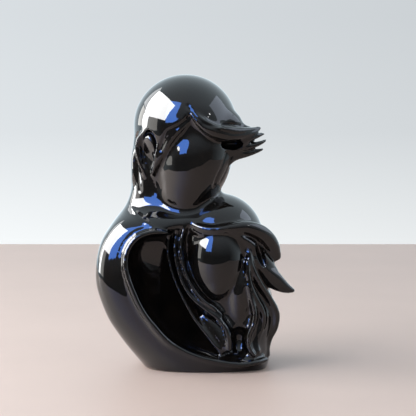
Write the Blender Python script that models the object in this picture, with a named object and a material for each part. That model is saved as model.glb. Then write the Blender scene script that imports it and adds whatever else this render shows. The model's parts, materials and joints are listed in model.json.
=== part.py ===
"""A glazed ceramic figure of a parent holding a child, slip-cast in one piece.

The figure stands on its flat foot with +Z up, and it faces -Y. The origin is the middle of its
bounding box, at the foot. Sizes are in millimetres, and MM turns them into Blender's metres.
The masses are pressed together like clay, softened, and then cut flat at the foot.
"""

import math

import bmesh
import bpy
from mathutils import Matrix, Vector

MM = 0.001

# How fine the clay is worked, and in how many steps it is softened
BODY_GRAIN = 2.2
CHILD_GRAIN = 1.76
HAIR_GRAIN = 1.1
BODY_STEPS = 5
HEAD_STEPS = 3
CHILD_STEPS = 4
HAIR_STEPS = 4
FACETS = 10400
BODY_RING_POINTS = 56
LOCK_RING_POINTS = 12
EGG_SEGMENTS = 48
HOLLOW_RINGS = 9

# Parent's head: a round cap of hair over an egg of a face that leans to the left, and the hollows
# at the ear and under the locks that fly out
CAP_CENTRE = (-8.4, 0, 176.5)
CAP_RADIUS = 38.4
HAIR_THICKNESS = 4.4
FACE_CENTRE = (-2.5, -7.5, 154)
FACE_RADII = (28.5, 30, 39)
FACE_LEAN = 15
HAIRLINE = (
    (-5.5, 189), (-10, 180), (-16.5, 172), (-23.5, 162), (-27, 150), (-30, 125),
    (-10, 105), (50, 120), (60, 160), (25.5, 162), (18, 164), (11, 168.5), (4.5, 174), (-2, 181),
)
JAW_CENTRE = (-8.5, -15, 131)
JAW_RADII = (19, 17.5, 19.5)
FLARE_CENTRE = (21, -10, 176.5)
FLARE_RADII = (13.5, 14, 13.5)
EAR_CENTRE = (-35, -28, 164.5)
EAR_RADII = (6.2, 8.5, 10.8)
EARLOBE_CENTRE = (-33.5, -21.5, 163)
EARLOBE_RADII = (5.8, 6.5, 10)
FLARE_HOLLOW_CENTRE = (26, -26, 164.3)
FLARE_HOLLOW_RADII = (8.5, 11, 4)

# Cloak, from the foot to the crown: height, left, right, front, back and how square its front is
CLOAK = (
    (-8, -34, 49, -37, 37, 2.3),
    (0, -40, 53, -42, 42, 2.5),
    (6, -44.5, 54, -44, 44, 2.8),
    (16, -52, 53, -45.5, 46, 3.4),
    (29, -60.5, 52, -46, 47, 4.4),
    (40, -66.5, 51, -46, 47, 5.4),
    (59, -72.8, 50, -45.5, 46, 7),
    (70, -74, 49, -44.5, 45, 7.5),
    (82, -73, 47, -43, 44, 7.5),
    (94, -69.8, 43, -41, 42, 7),
    (103, -64.3, 40, -38.5, 40, 6),
    (108, -60.8, 38, -36, 39, 5),
    (112, -57.6, 35, -32, 38, 4),
    (116, -54.2, 30.5, -27, 37, 3.2),
    (121, -51.4, 24.5, -22.5, 36, 3),
    (130, -48.6, 10.5, -21, 35, 3),
    (140, -48, 9.5, -22, 35.5, 2.6),
    (155, -47.6, 18, -24, 36.5, 2.15),
    (170, -46.6, 24, -22, 36, 2.15),
    (182, -42, 20, -14, 33, 2.15),
)
BACK_SQUARENESS = 2.15

# Hollow between the cloak and the child: its rim as the front shows it, and how deep it goes
HOLLOW_RIM = (
    (-22, 105), (-34, 104), (-44.5, 99), (-50.5, 88), (-49.5, 77), (-44, 61), (-37, 47.5),
    (-27, 34), (-18, 25), (-8, 18.5), (2, 14), (13, 11.5), (24, 10), (40, 9.5), (62, 11), (82, 14),
    (84, 60), (70, 100), (40, 114), (4, 110),
)
HOLLOW_HEART = (10, 62)
HOLLOW_MOUTH = -62
HOLLOW_FLOOR = -14
HOLLOW_DEPTH = 30

# Child: a round cap of hair over a mass of hair that runs down to the foot, and a blank face
CHILD_CENTRE = (15.5, -6, 94.3)
CHILD_RADIUS = 33.5
CHILD_HAIR = (
    (-8, 26, 51, -34, 6),
    (8, 22, 53, -36, 10),
    (19, 15, 53, -36, 12),
    (30, 7, 57, -35, 14),
    (40, 0, 58.5, -34, 16),
    (50, -7, 56, -34, 18),
    (62, -13.5, 53, -34, 18),
    (75, -17, 51, -34, 18),
    (90, -18.5, 50, -34, 18),
    (102, -16.5, 47, -30, 16),
    (112, -9, 39, -22, 12),
    (119, 2, 30, -12, 6),
)
CHILD_HAIR_SQUARENESS = 2.6
CHILD_FACE_CENTRE = (14.5, -22.2, 81)
CHILD_FACE_RADII = (21.5, 22, 31)
CHILD_CHIN_CENTRE = (15, -24, 65)
CHILD_CHIN_RADII = (14, 17.5, 15)
CHEST_CENTRE = (30.5, -24, 56)
CHEST_RADII = (10.5, 13.5, 30)
LAP_CENTRE = (31, -40, 22)
LAP_RADII = (9, 13, 12)
BRIM_HOLLOW_CENTRE = (46.8, -31, 84)
BRIM_HOLLOW_RADII = (3.2, 7.5, 11)
BRIM_HOLLOW_LEAN = -18

# Hair and hems: the side that each one shows, then its points with half-width and half-thickness
LOCKS = {
    "fringe left": ((-0.4, -1, -0.1), (
        (-5.5, -34, 190, 1.4, 2.4), (-11, -35, 182, 2.4, 3), (-18, -33, 174.5, 2.8, 3.4),
        (-25.5, -29, 165, 3, 3.4), (-30, -25, 154, 2, 3))),
    "fringe left under": ((-0.4, -1, -0.1), (
        (-5, -34, 186, 1.2, 2.4), (-10, -34.5, 178, 2, 3), (-16.5, -33, 170.5, 2.2, 3.2),
        (-23.5, -30, 161, 2.4, 3.4), (-27.5, -26, 150, 1.8, 3), (-29.5, -20.5, 139, 1, 1.6))),
    "fringe top": ((0.1, -1, -0.3), (
        (-5, -34, 189.5, 1.4, 2.4), (2, -36, 182, 3.4, 3.2), (10.5, -35, 175.5, 5.2, 3.6),
        (20.5, -30, 172.5, 6.4, 4), (30, -24, 172.5, 5.2, 4), (38.5, -18, 173.6, 3.4, 3.4),
        (47, -12, 176, 1.4, 1.6))),
    "fringe second": ((0.1, -1, -0.2), (
        (22, -22, 162.5, 2, 3), (29, -21, 164, 2.6, 3.2), (35.5, -18.5, 167.3, 2.6, 3),
        (42.5, -15, 169.6, 2.1, 2.6), (49.4, -11, 171.8, 1.3, 1.5))),
    "fringe third": ((0.1, -1, -0.2), (
        (22, -20, 160, 2.4, 3.6), (30, -18.5, 160.8, 2.4, 3.4), (37.5, -16, 162.4, 2.2, 3),
        (45, -13, 164.4, 2, 2.5), (51, -10, 167, 1.3, 1.5))),
    "fringe low": ((0.2, -1, -0.3), (
        (14, -22, 148, 4.4, 3), (20.5, -20, 152, 5, 3.4), (27, -17.5, 155.6, 4.2, 3.2),
        (35.5, -14.5, 156.8, 2.8, 2.6), (43, -12, 158.6, 2, 2.2), (49, -10, 160.6, 1.2, 1.4))),
    "flare root": ((0.4, -1, 0), (
        (14, -14, 176, 12, 9), (22, -11, 171, 12, 8), (30, -10, 168, 8, 6),
        (37, -10, 168.5, 5, 3.6), (43, -9.5, 169.5, 3, 2))),
    "flare crest": ((0.3, -1, 0.2), (
        (27, -9, 179, 5.6, 6), (33.5, -10.5, 175, 4, 5), (41, -11, 174, 2.4, 3))),
    "ear rim": ((-0.7, -1, 0), (
        (-35.5, -23, 175, 2, 3), (-41, -19, 169, 2.4, 3.6), (-42.5, -17, 161, 2.4, 3.6),
        (-40.5, -17.5, 152, 2.4, 3.6), (-38, -17.5, 145, 2, 3.4), (-35, -17, 138, 1.4, 2.6))),
    "ear inner rim": ((-0.3, -1, 0), (
        (-30.5, -27, 169, 1.8, 3), (-28.5, -27.5, 161, 2, 3.4), (-29.5, -25.5, 151, 2, 3.4),
        (-32, -22, 142, 1.6, 3))),
    "nape left": ((-1, -0.3, 0), (
        (-43, -10, 168, 1.6, 1.6), (-44.8, -11, 154, 3.4, 3), (-45, -11, 141, 3.4, 3),
        (-45, -8.5, 126, 1.4, 1.6))),
    "nape middle": ((-1, 0.1, 0), (
        (-44, -1, 170, 1.6, 1.6), (-45.4, -2, 154, 4, 3), (-45.6, -2, 138, 4, 3),
        (-47, -2, 122, 1.6, 1.6))),
    "back left": ((-0.6, 1, 0), (
        (-32, 27, 176, 3, 2.4), (-38, 27, 160, 5.4, 3.4), (-40, 27, 142, 5.4, 3.4),
        (-43, 27, 124, 4, 3), (-46, 28, 112, 1.6, 2))),
    "back middle": ((-0.1, 1, 0), (
        (-16, 35, 174, 3, 2.4), (-20, 34.5, 158, 6, 3.4), (-22, 33, 140, 6, 3.4),
        (-23, 33.5, 122, 4.4, 3), (-24, 36, 108, 1.6, 2))),
    "back right": ((0.4, 1, 0), (
        (8, 32, 172, 3, 2.4), (3, 32.5, 157, 6, 3.4), (-1, 31.5, 140, 6, 3.4),
        (-2, 32.5, 124, 4.4, 3), (-2, 35, 112, 1.6, 2))),
    "cloak hem": ((-0.2, -1, 0.1), (
        (-20, -37.9, 101.5, 1.2, 2.6), (-31, -38.6, 102, 2, 3.2), (-42.5, -40.5, 98.2, 2.5, 3.8),
        (-49.6, -42.7, 88.5, 2.5, 4), (-50.4, -44.6, 76, 2.5, 4), (-45.4, -45.9, 60.5, 2.5, 4),
        (-38.6, -45.7, 46, 2.5, 3.8), (-28.8, -45.3, 32.5, 2.8, 3.8), (-20, -44.4, 23, 2.8, 3.6),
        (-9.5, -43.5, 16.5, 2.6, 3.6), (1.5, -43.5, 12, 2.4, 3.6), (12.5, -43, 9, 2.4, 3.4),
        (24, -42, 7, 2.2, 3.4), (34, -40, 6, 2.2, 3.4), (44, -35.5, 7, 2.2, 3.2),
        (51, -29, 8, 2.2, 2.8))),
    "collar": ((-0.3, -1, 0.3), (
        (-49.5, -13.9, 119, 1, 1.4), (-44, -24.7, 114.5, 1.1, 1.6), (-37, -33.7, 109, 1.2, 1.8),
        (-31, -36.6, 105, 1.2, 1.8), (-25, -37.8, 102.2, 1, 1.8))),
    "child outer": ((-0.7, -1, 0), (
        (-7.2, -24, 109.8, 1.2, 4), (-13.7, -24, 106.9, 1.7, 4.6), (-18.1, -24.5, 97.8, 1.9, 5),
        (-19, -25, 87.6, 1.9, 5.4), (-16.8, -26, 75.3, 1.9, 5.6), (-12.8, -27.5, 63.8, 1.9, 5.6),
        (-7, -29.5, 51.6, 1.9, 5.6), (0.3, -31.5, 38.7, 1.9, 5.6), (8.8, -34, 27.4, 1.9, 5),
        (15.3, -36, 18.9, 1.7, 4.4), (19, -37.5, 13.3, 1.4, 3))),
    "child second": ((-0.5, -1, 0), (
        (-7.5, -28, 108.4, 1.2, 4), (-11.8, -28.5, 103.4, 1.9, 4.6), (-14.2, -29.5, 94.7, 2.1, 5),
        (-14, -30.5, 84.6, 2.1, 5.4), (-11.8, -31.5, 73.8, 2.1, 5.4), (-7.8, -33, 63.1, 2.1, 5.4),
        (-1.3, -34.5, 53.8, 2.1, 5.4), (8.1, -36, 46, 2.1, 5.2), (16.1, -37, 39.9, 2.1, 5),
        (21.8, -38, 32.4, 2.1, 4.6), (24, -38, 23.6, 2, 4.2), (24, -38.5, 14.9, 1.6, 3))),
    "child third": ((-0.4, -1, 0), (
        (-6, -31, 106.5, 1.1, 3.6), (-9.2, -32.5, 100.9, 1.4, 4.4), (-10.5, -33.5, 91.5, 1.5, 4.6),
        (-9.6, -34.5, 81.5, 1.5, 4.6), (-6.7, -35.5, 71.4, 1.5, 4.6), (-1.6, -36.5, 61.4, 1.5, 4.6),
        (5.2, -37, 53.1, 1.5, 4.4), (13.2, -37, 47.2, 1.5, 4), (18.9, -37, 41.7, 1.2, 3))),
    "child leaf": ((-0.3, -1, 0.2), (
        (4, -30, 41, 2.4, 4), (11.5, -32.5, 33, 6, 4.4), (17.5, -35, 23, 5.4, 4),
        (21, -37, 14, 2.4, 3))),
    "brim": ((0, -1, 0.1), (
        (-6.5, -30, 109, 1.6, 2.6), (2.5, -35, 105, 2.6, 3.8), (12.5, -37.5, 103.6, 3, 4.2),
        (25.5, -37, 105, 3.8, 4.4), (36, -32.5, 105, 5, 5), (47, -26, 100, 6, 5.4),
        (54.5, -20, 91, 5.8, 5), (59.2, -15.5, 79.5, 3.2, 3.2))),
    "brim edge": ((0, -1, 0), (
        (-4.2, -33, 103.5, 1.1, 2.6), (5.2, -35.5, 99.8, 1.5, 3.2), (16.7, -36, 100.9, 1.6, 3.4),
        (26.8, -35, 101.1, 1.8, 3.6), (34.9, -31.5, 96, 2, 3.8), (40.8, -27.5, 86.5, 2.2, 4),
        (46, -23.5, 75.7, 2.2, 4), (51.3, -20, 67.2, 1.8, 3.4))),
    "brim under": ((0, -1, 0), (
        (30, -33, 98.5, 2.6, 4.6), (38, -29.5, 93.5, 3.6, 5), (45.5, -24.5, 85, 4.4, 5.4),
        (51.5, -19.5, 77, 4.4, 5), (57, -16, 70, 3.4, 4))),
    "flick": ((0.1, -1, -0.2), (
        (40, -27, 84, 3.4, 5), (47.5, -22.5, 74.5, 5.4, 5.4), (55.5, -18.5, 65.5, 7, 5),
        (64, -15.5, 59, 4.8, 3.8), (72, -13, 55.6, 1.6, 1.8))),
    "child right": ((0.6, -1, 0), (
        (36.3, -31, 88.3, 2, 4), (38.6, -30, 76.5, 2.6, 5), (43.7, -27.5, 64.5, 3, 6),
        (51.2, -22, 52, 3.4, 6), (56.4, -18.5, 41, 3.6, 6), (55.8, -17.5, 31, 3.4, 6),
        (51.9, -17, 22, 3.2, 5.4), (50.4, -17.5, 14.6, 2.8, 5), (51.4, -19, 7.7, 2.4, 4))),
    "child right inner": ((0.4, -1, 0), (
        (35.6, -33, 81.3, 1.8, 4), (36.7, -33, 67.4, 2.4, 5), (41.1, -30.5, 54.7, 2.6, 5.6),
        (46.3, -28, 44, 2.6, 6), (47.1, -27, 35, 2.6, 6), (43.8, -28, 26.3, 2.5, 5.6),
        (42.3, -30, 19.3, 2.4, 5), (44.8, -32, 12.3, 2, 4))),
    "child right third": ((0.2, -1, 0), (
        (36, -34, 64.7, 1.6, 4), (38.9, -33, 52.8, 2.2, 5), (41.5, -32.5, 41.8, 2.4, 5.4),
        (39.7, -33.5, 33.1, 2.3, 5.4), (36.7, -34.5, 25.2, 2.2, 5), (37.8, -35, 17.2, 2.1, 4.4),
        (42.2, -35.5, 11.1, 1.8, 3.4))),
}

# The hollow that the cast wall leaves inside, like the cloak's rows, and its drain in the foot
CAST_HOLLOW = (
    (6, -30, 40, -8, 33),
    (12, -42, 45, -8, 38),
    (29, -53, 45, -8, 40),
    (50, -63, 44, -8, 40),
    (70, -66.5, 42, -8, 38.5),
    (94, -62.5, 37, -8, 35.5),
    (112, -51, 27, -8, 31.5),
    (130, -42.5, 8, -7, 29),
    (142, -42, 8, -6, 29),
    (156, -40, 14, -6, 29),
    (166, -34, 14, -6, 26),
)
HEAD_HOLLOW_RADIUS = 28.5
CHILD_HOLLOW_RADIUS = 26
DRAIN_CENTRE = (-6, 8)
DRAIN_DIAMETER = 12
HOLLOW_GRAIN = 3
HOLLOW_FACETS = 1200


def smooth_through(rows, steps):
    """A Catmull-Rom run through rows of numbers, with so many steps between neighbours."""
    rows = [Vector(row) for row in rows]
    ends = [rows[0] * 2 - rows[1]] + rows + [rows[-1] * 2 - rows[-2]]
    run = []
    for a, b, c, d in zip(ends, ends[1:], ends[2:], ends[3:]):
        for step in range(steps):
            t = step / steps
            run.append(0.5 * (2 * b + (c - a) * t + (2 * a - 5 * b + 4 * c - d) * t * t
                              + (3 * b - a - 3 * c + d) * t ** 3))
    run.append(rows[-1])
    return run


def skin(clay, rings):
    """Join rings of points into one closed shell in the clay."""
    loops = [[clay.verts.new(Vector(point) * MM) for point in ring] for ring in rings]
    for lower, upper in zip(loops, loops[1:]):
        for i in range(len(lower)):
            j = (i + 1) % len(lower)
            clay.faces.new((lower[i], lower[j], upper[j], upper[i]))
    clay.faces.new(list(reversed(loops[0])))
    clay.faces.new(loops[-1])


def egg(clay, centre, radii, lean=0.0):
    """An ellipsoid that may lean sideways."""
    place = Matrix.Translation(Vector(centre) * MM)
    turn = Matrix.Rotation(lean, 4, "Y")
    size = Matrix.Diagonal((*(radius * MM for radius in radii), 1))
    bmesh.ops.create_uvsphere(
        clay, u_segments=EGG_SEGMENTS, v_segments=EGG_SEGMENTS * 2 // 3, radius=1,
        matrix=place @ turn @ size)


def upright(clay, sections, back_squareness):
    """A body through its sections: height, left, right, front, back and how square its front is."""
    rings = []
    for height, left, right, front, back, front_squareness in smooth_through(sections, 4):
        ring = []
        for i in range(BODY_RING_POINTS):
            angle = math.tau * i / BODY_RING_POINTS
            squareness = back_squareness if math.sin(angle) > 0 else front_squareness
            across = math.copysign(abs(math.cos(angle)) ** (2 / squareness), math.cos(angle))
            deep = math.copysign(abs(math.sin(angle)) ** (2 / squareness), math.sin(angle))
            reach = back if deep > 0 else -front
            ring.append(((left + right) / 2 + across * (right - left) / 2, deep * reach, height))
        rings.append(ring)
    skin(clay, rings)


def lock(clay, shows, points):
    """A tapered lock or hem: an oval run along its points, broad towards the side it shows."""
    run = smooth_through(points, 6)
    rings = []
    for before, here, after in zip(run[:1] + run, run, run[1:] + run[-1:]):
        along = (after - before).to_3d().normalized()
        side = along.cross(Vector(shows)).normalized()
        out = side.cross(along)
        wide, thick = here[3], here[4]
        turns = [math.tau * i / LOCK_RING_POINTS for i in range(LOCK_RING_POINTS)]
        rings.append([here.to_3d() + side * wide * math.cos(turn) + out * thick * math.sin(turn)
                      for turn in turns])
    skin(clay, rings)


def as_object(name, clay):
    """Put the clay into an object of that name, with its faces out."""
    bmesh.ops.recalc_face_normals(clay, faces=clay.faces[:])
    mesh = bpy.data.meshes.new(name)
    clay.to_mesh(mesh)
    clay.free()
    piece = bpy.data.objects.new(name, mesh)
    bpy.context.collection.objects.link(piece)
    return piece


def fired(piece):
    """The object's shape with its modifiers applied, as clay again, and the object gone."""
    shape = piece.evaluated_get(bpy.context.evaluated_depsgraph_get()).to_mesh()
    clay = bmesh.new()
    clay.from_mesh(shape)
    piece.to_mesh_clear()
    bpy.data.objects.remove(piece)
    return clay


def pressed(clay, grain, steps):
    """Press overlapping masses into one skin and soften it."""
    piece = as_object("pressed", clay)
    press = piece.modifiers.new("press", "REMESH")
    press.mode = "VOXEL"
    press.voxel_size = grain * MM
    soften = piece.modifiers.new("soften", "SMOOTH")
    soften.factor = 0.5
    soften.iterations = steps
    return fired(piece)


def cut(clay, tool_clay, operation="DIFFERENCE"):
    """Cut one closed shape out of another, or join them with UNION."""
    piece = as_object("kept", clay)
    tool = as_object("tool", tool_clay)
    tool.hide_render = True
    tool.display_type = "WIRE"
    trim = piece.modifiers.new("cut", "BOOLEAN")
    trim.operation = operation
    trim.solver = "EXACT"
    trim.object = tool
    kept = fired(piece)
    bpy.data.objects.remove(tool)
    return kept


def hair_cap():
    """The parent's cap of hair, open at the hairline."""
    cap = bmesh.new()
    egg(cap, CAP_CENTRE, (CAP_RADIUS,) * 3)
    window = bmesh.new()
    skin(window, [[(x, y, z) for x, z in HAIRLINE] for y in (2, -2 * CAP_RADIUS)])
    return cut(cap, window)


def cloak_and_head():
    """The parent: the cloak with its hollow, and the head."""
    clay = bmesh.new()
    upright(clay, CLOAK, BACK_SQUARENESS)
    clay = pressed(clay, BODY_GRAIN, BODY_STEPS)
    hollow = bmesh.new()
    outline = smooth_through(HOLLOW_RIM + HOLLOW_RIM[:1], 4)[:-1]
    heart = Vector(HOLLOW_HEART)
    rings = [[(x, HOLLOW_MOUTH, z) for x, z in outline]]
    for step in range(HOLLOW_RINGS):
        angle = math.pi / 2 * step / (HOLLOW_RINGS - 0.5)
        share = math.cos(angle)
        deep = HOLLOW_FLOOR - HOLLOW_DEPTH * (1 - math.sin(angle))
        rings.append([(heart.x + (p.x - heart.x) * share, deep, heart.y + (p.y - heart.y) * share)
                      for p in outline])
    skin(hollow, rings)
    clay = cut(clay, hollow)
    shape = bpy.data.meshes.new("cap")
    cap = hair_cap()
    cap.to_mesh(shape)
    cap.free()
    clay.from_mesh(shape)
    bpy.data.meshes.remove(shape)
    egg(clay, CAP_CENTRE, (CAP_RADIUS - HAIR_THICKNESS,) * 3)
    egg(clay, FACE_CENTRE, FACE_RADII, math.radians(FACE_LEAN))
    egg(clay, JAW_CENTRE, JAW_RADII)
    egg(clay, FLARE_CENTRE, FLARE_RADII)
    return pressed(clay, BODY_GRAIN, HEAD_STEPS)


def with_child(clay):
    """Set the child's head, hair and chest in the hollow."""
    egg(clay, CHILD_CENTRE, (CHILD_RADIUS,) * 3)
    upright(clay, [(*row, CHILD_HAIR_SQUARENESS) for row in CHILD_HAIR], CHILD_HAIR_SQUARENESS)
    clay = pressed(clay, CHILD_GRAIN, CHILD_STEPS)
    lap = bmesh.new()
    egg(lap, LAP_CENTRE, LAP_RADII)
    clay = cut(clay, lap)
    egg(clay, CHILD_FACE_CENTRE, CHILD_FACE_RADII)
    egg(clay, CHILD_CHIN_CENTRE, CHILD_CHIN_RADII)
    egg(clay, CHEST_CENTRE, CHEST_RADII)
    return clay


def with_hair(clay):
    """Lay the locks and hems on, and open the hollows at the ear and under the locks."""
    for shows, points in LOCKS.values():
        lock(clay, shows, points)
    clay = pressed(clay, HAIR_GRAIN, 1)
    gaps = bmesh.new()
    egg(gaps, EAR_CENTRE, EAR_RADII)
    lobe = bmesh.new()
    egg(lobe, EARLOBE_CENTRE, EARLOBE_RADII)
    gaps = cut(gaps, lobe)
    egg(gaps, FLARE_HOLLOW_CENTRE, FLARE_HOLLOW_RADII)
    egg(gaps, BRIM_HOLLOW_CENTRE, BRIM_HOLLOW_RADII, math.radians(BRIM_HOLLOW_LEAN))
    clay = cut(clay, gaps)
    return pressed(clay, HAIR_GRAIN, HAIR_STEPS)


def flattened(clay):
    """Cut the clay flat at the foot."""
    bmesh.ops.bisect_plane(
        clay, geom=clay.verts[:] + clay.edges[:] + clay.faces[:], dist=1e-7,
        plane_co=(0, 0, 0), plane_no=(0, 0, 1), clear_inner=True)
    rim = [edge for edge in clay.edges if edge.is_boundary]
    bmesh.ops.contextual_create(clay, geom=rim)
    bmesh.ops.triangulate(clay, faces=clay.faces[:])
    return clay


def thinned(clay, facets):
    """Keep as many facets as the shape needs."""
    piece = as_object("thinned", clay)
    thin = piece.modifiers.new("thin", "DECIMATE")
    thin.ratio = facets / sum(len(face.vertices) - 2 for face in piece.data.polygons)
    return fired(piece)


def hollowed(clay):
    """Leave the cast wall: hollow out the body and both heads, and drain them at the foot."""
    inside = bmesh.new()
    upright(inside, [(*row, BACK_SQUARENESS) for row in CAST_HOLLOW], BACK_SQUARENESS)
    egg(inside, CAP_CENTRE, (HEAD_HOLLOW_RADIUS,) * 3)
    egg(inside, CHILD_CENTRE, (CHILD_HOLLOW_RADIUS,) * 3)
    inside = thinned(pressed(inside, HOLLOW_GRAIN, BODY_STEPS), HOLLOW_FACETS)
    drain = bmesh.new()
    floor = CAST_HOLLOW[0][0]
    bmesh.ops.create_cone(
        drain, cap_ends=True, segments=32, radius1=DRAIN_DIAMETER / 2 * MM,
        radius2=DRAIN_DIAMETER / 2 * MM, depth=4 * floor * MM,
        matrix=Matrix.Translation(Vector((*DRAIN_CENTRE, floor)) * MM))
    return cut(clay, cut(inside, drain, "UNION"))


def glaze():
    """Black gloss glaze."""
    material = bpy.data.materials.new("black glaze")
    material.use_nodes = True
    shader = material.node_tree.nodes["Principled BSDF"]
    shader.inputs["Base Color"].default_value = (0.012, 0.012, 0.013, 1)
    shader.inputs["Roughness"].default_value = 0.05
    shader.inputs["Metallic"].default_value = 0
    return material


def main():
    for old in list(bpy.data.objects):
        bpy.data.objects.remove(old)
    clay = with_hair(with_child(cloak_and_head()))
    clay = hollowed(flattened(thinned(clay, FACETS)))
    bmesh.ops.triangulate(clay, faces=clay.faces[:])
    low = Vector([min(vert.co[i] for vert in clay.verts) for i in range(3)])
    high = Vector([max(vert.co[i] for vert in clay.verts) for i in range(3)])
    middle = Vector(((low.x + high.x) / 2, (low.y + high.y) / 2, low.z))
    figure = as_object("sculpture", clay)
    figure.location = -middle
    figure.data.materials.append(glaze())
    figure.data.shade_smooth()
    figure.data.set_sharp_from_angle(angle=math.radians(50))


main()
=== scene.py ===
"""A glossy black ceramic figure of a parent holding a child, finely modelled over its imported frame.

Shapes are given in millimetres on the maker's own grid, whose origin is set back to the frame's at
the end. The masses are pressed together like clay, softened, cut flat at the foot and glazed.
"""

import json
import math

import bmesh
import bpy
from mathutils import Matrix, Vector
from mathutils.bvhtree import BVHTree
from mathutils.kdtree import KDTree

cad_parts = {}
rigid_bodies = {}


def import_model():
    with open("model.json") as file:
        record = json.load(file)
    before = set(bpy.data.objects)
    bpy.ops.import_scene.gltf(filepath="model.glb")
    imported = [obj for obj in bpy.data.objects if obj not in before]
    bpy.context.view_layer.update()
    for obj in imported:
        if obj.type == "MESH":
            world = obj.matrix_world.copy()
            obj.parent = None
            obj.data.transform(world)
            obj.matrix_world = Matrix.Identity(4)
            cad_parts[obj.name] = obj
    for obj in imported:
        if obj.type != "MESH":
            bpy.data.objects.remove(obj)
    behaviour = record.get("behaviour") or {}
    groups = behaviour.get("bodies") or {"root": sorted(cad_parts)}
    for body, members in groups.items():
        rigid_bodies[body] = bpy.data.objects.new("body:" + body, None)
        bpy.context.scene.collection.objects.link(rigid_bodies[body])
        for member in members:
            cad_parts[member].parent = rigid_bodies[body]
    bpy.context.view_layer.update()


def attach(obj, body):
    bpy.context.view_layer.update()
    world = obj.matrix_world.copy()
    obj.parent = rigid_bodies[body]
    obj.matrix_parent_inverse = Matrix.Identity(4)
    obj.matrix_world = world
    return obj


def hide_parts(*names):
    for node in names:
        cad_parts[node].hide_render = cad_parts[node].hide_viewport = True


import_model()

bl_info = {
    "name": "Parent and child figure",
    "version": (1, 0, 0),
    "blender": (4, 5, 0),
    "location": "View3D > Sidebar > Figure",
    "description": "Models and glazes a cast ceramic figure of a parent holding a child",
    "category": "Add Mesh",
}

MM = 0.001

# Cloak, from the foot to the crown: height, left, right, front, back and how square its front is
CLOAK = (
    (-8, -34, 49, -37, 37, 2.3),
    (0, -40, 53, -42, 42, 2.5),
    (6, -44.5, 54, -44, 44, 2.8),
    (16, -52, 53, -45.5, 46, 3.4),
    (29, -60.5, 52, -46, 47, 4.4),
    (40, -66.5, 51, -46, 47, 5.4),
    (59, -72.8, 50, -45.5, 46, 7),
    (70, -74, 49, -44.5, 45, 7.5),
    (82, -73, 47, -43, 44, 7.5),
    (94, -69.8, 43, -41, 42, 7),
    (103, -64.3, 40, -38.5, 40, 6),
    (108, -60.8, 38, -36, 39, 5),
    (112, -57.6, 35, -32, 38, 4),
    (116, -54.2, 30.5, -27, 37, 3.2),
    (121, -51.4, 24.5, -22.5, 36, 3),
    (130, -48.6, 10.5, -21, 35, 3),
    (140, -48, 9.5, -22, 35.5, 2.6),
    (155, -47.6, 18, -24, 36.5, 2.15),
    (170, -46.6, 24, -22, 36, 2.15),
    (182, -42, 20, -14, 33, 2.15),
)
BACK_SQUARENESS = 2.15

# Parent's cap, face and hairline, and the hollows at the ear and under the flying locks
CAP_CENTRE = (-8.4, 0, 176.5)
FACE_CENTRE = (-2.5, -7.5, 154)
FACE_RADII = (28.5, 30, 39)
HAIRLINE = (
    (-5.5, 189), (-10, 180), (-16.5, 172), (-23.5, 162), (-27, 150), (-30, 125),
    (-10, 105), (50, 120), (60, 160), (25.5, 162), (18, 164), (11, 168.5), (4.5, 174), (-2, 181),
)
HAIRLINE_DEPTHS = (2, -60)
CHEEK_CENTRE = (-5.5, -11.5, 142)
CHEEK_RADII = (24, 23.2, 27)
JAW_CENTRE = (-8.5, -15, 131)
JAW_RADII = (19, 17.5, 19.5)
FLARE_CENTRE = (21, -10, 176.5)
FLARE_RADII = (13.5, 14, 13.5)
EAR_CENTRE = (-35, -28, 164.5)
EAR_RADII = (6.2, 8.5, 10.8)
EARLOBE_CENTRE = (-33.5, -21.5, 163)
EARLOBE_RADII = (5.8, 6.5, 10)
FLARE_HOLLOW_CENTRE = (26, -26, 164.3)
FLARE_HOLLOW_RADII = (8.5, 11, 4)

# Hollow between the cloak and the child: its rim as the front shows it, what it narrows to, its depths
HOLLOW_RIM = (
    (-22, 105), (-34, 104), (-44.5, 99), (-50.5, 88), (-49.5, 77), (-44, 61), (-37, 47.5),
    (-27, 34), (-18, 25), (-8, 18.5), (2, 14), (13, 11.5), (24, 10), (40, 9.5), (62, 11), (82, 14),
    (84, 60), (70, 100), (40, 114), (4, 110),
)
HOLLOW_HEART = (10, 62)
HOLLOW_MOUTH = -62
HOLLOW_FLOOR = -14
HOLLOW_DEPTH = 30

# Child's head, hair, face and chest
CHILD_CENTRE = (15.5, -6, 94.3)
CHILD_HAIR = (
    (-8, 26, 51, -34, 6),
    (8, 22, 53, -36, 10),
    (19, 15, 53, -36, 12),
    (30, 7, 57, -35, 14),
    (40, 0, 58.5, -34, 16),
    (50, -7, 56, -34, 18),
    (62, -13.5, 53, -34, 18),
    (75, -17, 51, -34, 18),
    (90, -18.5, 50, -34, 18),
    (102, -16.5, 47, -30, 16),
    (112, -9, 39, -22, 12),
    (119, 2, 30, -12, 6),
)
CHILD_HAIR_SQUARENESS = 2.6
CHILD_FACE_CENTRE = (14.5, -22.2, 81)
CHILD_FACE_RADII = (21.5, 22, 31)
CHILD_CHIN_CENTRE = (15, -24, 65)
CHILD_CHIN_RADII = (14, 17.5, 15)
CHEST_CENTRE = (30.5, -24, 56)
CHEST_RADII = (10.5, 13.5, 30)
LAP_CENTRE = (31, -40, 22)
LAP_RADII = (9, 13, 12)
BRIM_HOLLOW_CENTRE = (46.8, -31, 84)
BRIM_HOLLOW_RADII = (3.2, 7.5, 11)
BRIM_HOLLOW_LEAN = -18

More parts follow.
